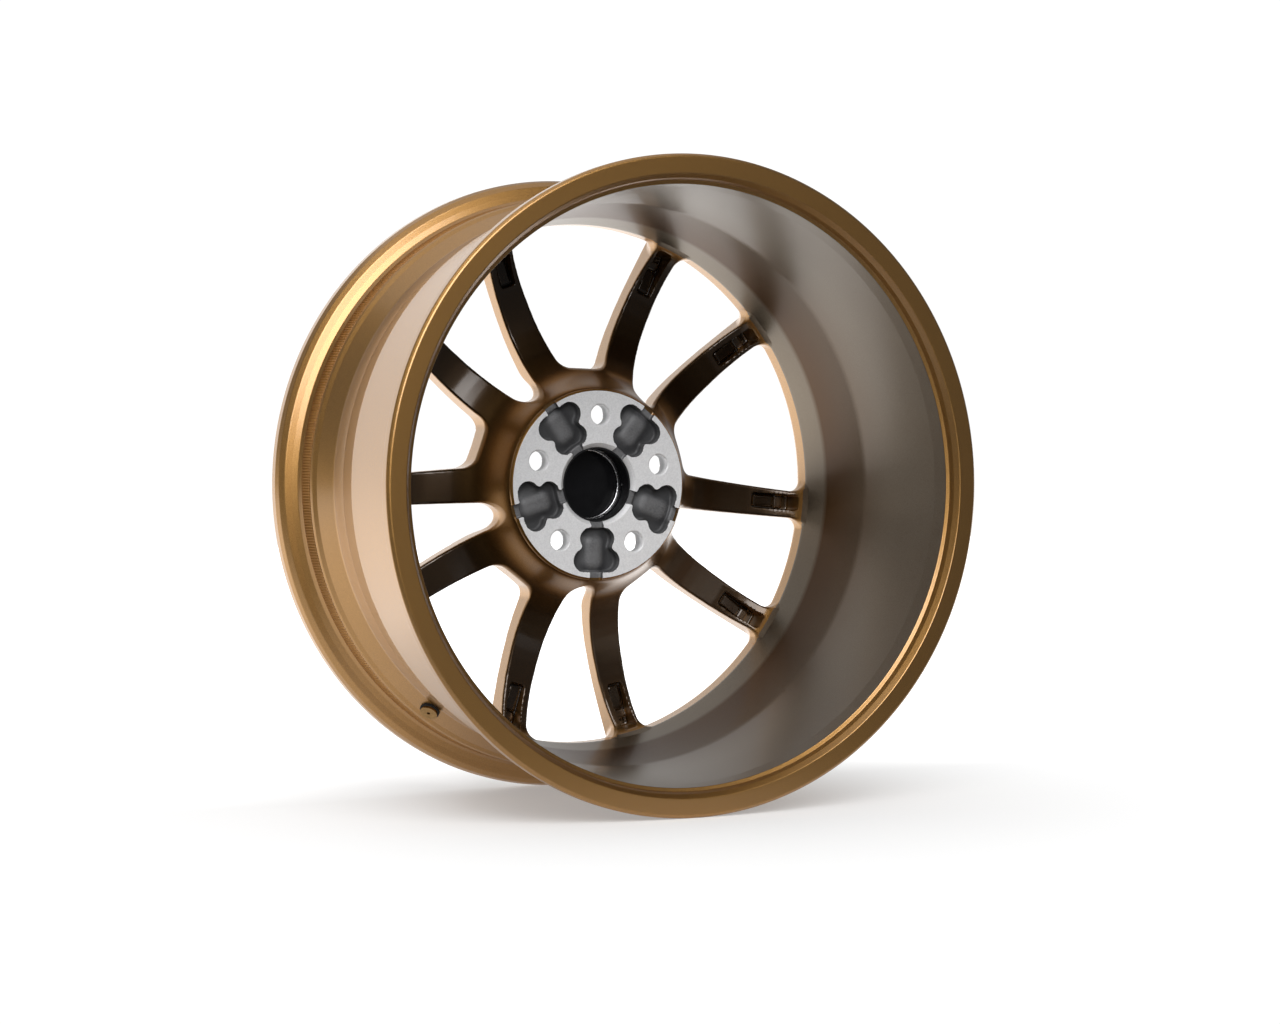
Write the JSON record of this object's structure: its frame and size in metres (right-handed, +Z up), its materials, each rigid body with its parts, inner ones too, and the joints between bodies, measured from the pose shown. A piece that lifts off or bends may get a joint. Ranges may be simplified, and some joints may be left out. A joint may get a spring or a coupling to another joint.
{
  "type": "forged car wheel rim",
  "caption": "Forged alloy wheel with paired spokes, bolt-on hub, push-in centring sleeve, pull-off centre cap and clamp-in tyre valve.",
  "frame": {"origin": "on the axle, half way between the two flanges", "axes": "+Y along the axle, pointing inboard towards the car; +Z up; one bolt hole stands nearly straight up"},
  "size_m": [0.4965, 0.247, 0.4966],
  "materials": {
    "bronze_paint": "satin metallic",
    "machined_aluminium": "turned",
    "black_plastic": "satin",
    "cap_face": "gloss",
    "spring_steel": "drawn",
    "valve_aluminium": "satin anodised",
    "valve_rubber": "matte",
    "brass": "turned"
  },
  "bodies": {
    "wheel": {"outboard_flange": "bronze_paint", "rim_barrel": "bronze_paint", "inboard_flange": "bronze_paint", "hub_centre": "machined_aluminium", "hub_flare": "bronze_paint", "spoke_1": "bronze_paint", "spoke_2": "bronze_paint", "spoke_3": "bronze_paint", "spoke_4": "bronze_paint", "spoke_5": "bronze_paint", "spoke_6": "bronze_paint", "spoke_7": "bronze_paint", "spoke_8": "bronze_paint", "spoke_9": "bronze_paint", "spoke_10": "bronze_paint", "centring_sleeve": "black_plastic", "valve_stem": "valve_aluminium", "valve_grommet": "valve_rubber", "valve_washer": "valve_aluminium", "valve_nut": "valve_aluminium", "valve_core_body": "brass", "valve_core_spring": "spring_steel"},
    "centre_cap": {"centre_cap": "black_plastic", "cap_insert": "cap_face", "cap_spring_ring": "spring_steel"},
    "core_pin": {"valve_core_pin": "brass", "valve_core_seal": "valve_rubber"},
    "valve_cap_seal": {"valve_cap_seal": "valve_rubber"},
    "valve_cap": {"valve_cap": "valve_aluminium"}
  },
  "joints": [
    {"name": "centre_cap_pull", "type": "slide", "parent": "wheel", "child": "centre_cap", "axis": [0, -1, 0], "range_m": [0, 0.03]},
    {"name": "valve_core_press", "type": "slide", "parent": "wheel", "child": "core_pin", "axis": [0.5456, 0.4478, -0.7084], "range_m": [0, 0.0012], "stiffness_N_per_m": 1500, "springref_m": -0.0004, "deforming": ["valve_core_spring"]},
    {"name": "valve_cap_turn", "type": "hinge", "parent": "wheel", "child": "valve_cap_seal", "pos_m": [0.11976, -0.08143, -0.15552], "axis": [-0.5456, -0.4478, 0.7084], "range_deg": [0, 2520]},
    {"name": "valve_cap_rise", "type": "slide", "parent": "valve_cap_seal", "child": "valve_cap", "axis": [-0.5456, -0.4478, 0.7084], "range_m": [0, 0.00555]}
  ],
  "couplings": [
    {"joint": "valve_cap_turn", "follows": "valve_cap_rise", "rad_per_m": 7913.3}
  ]
}
